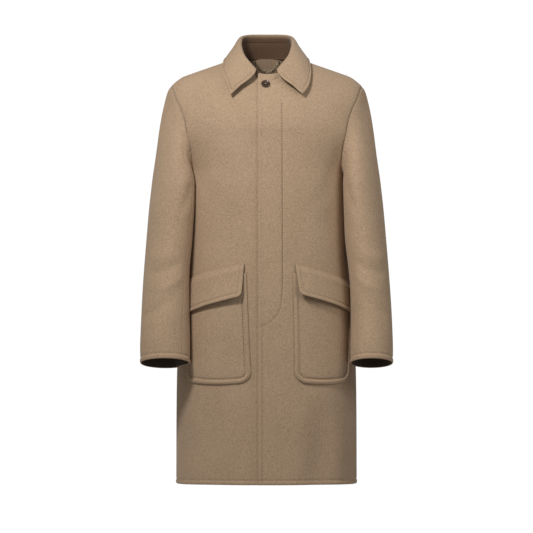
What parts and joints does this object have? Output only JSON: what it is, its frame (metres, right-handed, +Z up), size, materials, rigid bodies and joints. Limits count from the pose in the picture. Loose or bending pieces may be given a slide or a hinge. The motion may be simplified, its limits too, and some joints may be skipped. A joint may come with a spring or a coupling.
{
  "type": "car coat",
  "caption": "Thigh-length wool car coat, filled out as worn, with turn-down collar, concealed front fastening, slanted pocket flaps and a hanger chain inside the neck.",
  "frame": {"origin": "middle of the neck base, level with the inner ends of the shoulder seams, where a wearer's shoulders hold the coat", "axes": "+Z up from hem to collar, +X to the wearer's left, -Y to the front"},
  "size_m": [0.5856, 0.3414, 1.0576],
  "materials": {
    "wool": "soft napped tan melton",
    "horn": "dark brown horn, polished",
    "chain_steel": "small steel chain, dulled"
  },
  "bodies": {
    "coat": {"front_left": "wool", "front_right": "wool", "back_left": "wool", "back_right": "wool", "sleeve_upper_left": "wool", "sleeve_upper_right": "wool", "sleeve_under_left": "wool", "sleeve_under_right": "wool", "collar_stand": "wool", "collar_fall": "wool", "pocket_left": "wool", "pocket_right": "wool", "flap_left": "wool", "flap_right": "wool", "button": "horn", "hanger_ring_left": "chain_steel", "hanger_ring_right": "chain_steel"},
    "hanger_chain": {"hanger_link_01": "chain_steel", "hanger_link_02": "chain_steel", "hanger_link_03": "chain_steel", "hanger_link_04": "chain_steel", "hanger_link_05": "chain_steel", "hanger_link_06": "chain_steel", "hanger_link_07": "chain_steel", "hanger_link_08": "chain_steel", "hanger_link_09": "chain_steel", "hanger_link_10": "chain_steel", "hanger_link_11": "chain_steel"}
  },
  "joints": [
    {"name": "hanger_swing", "type": "hinge", "parent": "coat", "child": "hanger_chain", "pos_m": [0, 0.0555, -0.0045], "axis": [-1, 0, 0], "range_deg": [0, 165]}
  ]
}
